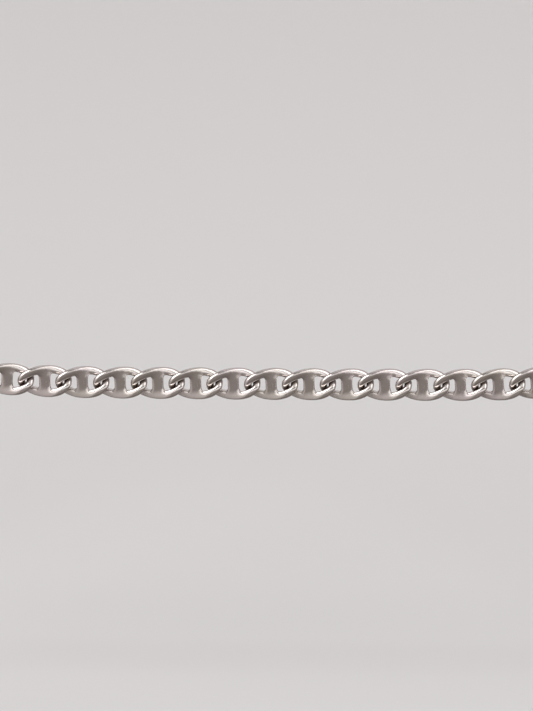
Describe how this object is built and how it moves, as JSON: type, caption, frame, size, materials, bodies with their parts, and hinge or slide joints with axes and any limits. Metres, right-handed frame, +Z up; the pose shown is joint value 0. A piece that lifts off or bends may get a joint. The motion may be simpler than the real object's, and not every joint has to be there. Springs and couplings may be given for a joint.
{
  "type": "mariner curb chain necklace",
  "caption": "Worn neck chain of heavy twisted oval links, each with a flat cross bar, closed at the nape by a plain clasp.",
  "frame": {"origin": "middle of the clasp, where the necklace hangs on the nape of the neck", "axes": "+X to the right as seen from in front, along the straight front of the chain; -Y forward, from the nape towards the chest; +Z up"},
  "size_m": [0.1904, 0.1405, 0.1429],
  "materials": {
    "link_silver": "polished silver with fine rubbed marks",
    "clasp_silver": "polished silver"
  },
  "bodies": {
    "root": {"link_01": "link_silver", "link_02": "link_silver", "link_03": "link_silver", "link_04": "link_silver", "link_05": "link_silver", "link_06": "link_silver", "link_07": "link_silver", "link_08": "link_silver", "link_09": "link_silver", "link_10": "link_silver", "link_11": "link_silver", "link_12": "link_silver", "link_13": "link_silver", "link_14": "link_silver", "link_15": "link_silver", "link_16": "link_silver", "link_17": "link_silver", "link_18": "link_silver", "link_19": "link_silver", "link_20": "link_silver", "link_21": "link_silver", "link_22": "link_silver", "link_23": "link_silver", "link_24": "link_silver", "link_25": "link_silver", "link_26": "link_silver", "link_27": "link_silver", "link_28": "link_silver", "link_29": "link_silver", "link_30": "link_silver", "link_31": "link_silver", "link_32": "link_silver", "link_33": "link_silver", "link_34": "link_silver", "link_35": "link_silver", "link_36": "link_silver", "link_37": "link_silver", "link_38": "link_silver", "link_39": "link_silver", "side_left_low": "link_silver", "side_left_high": "link_silver", "side_right_low": "link_silver", "side_right_high": "link_silver", "clasp": "clasp_silver"}
  },
  "joints": []
}
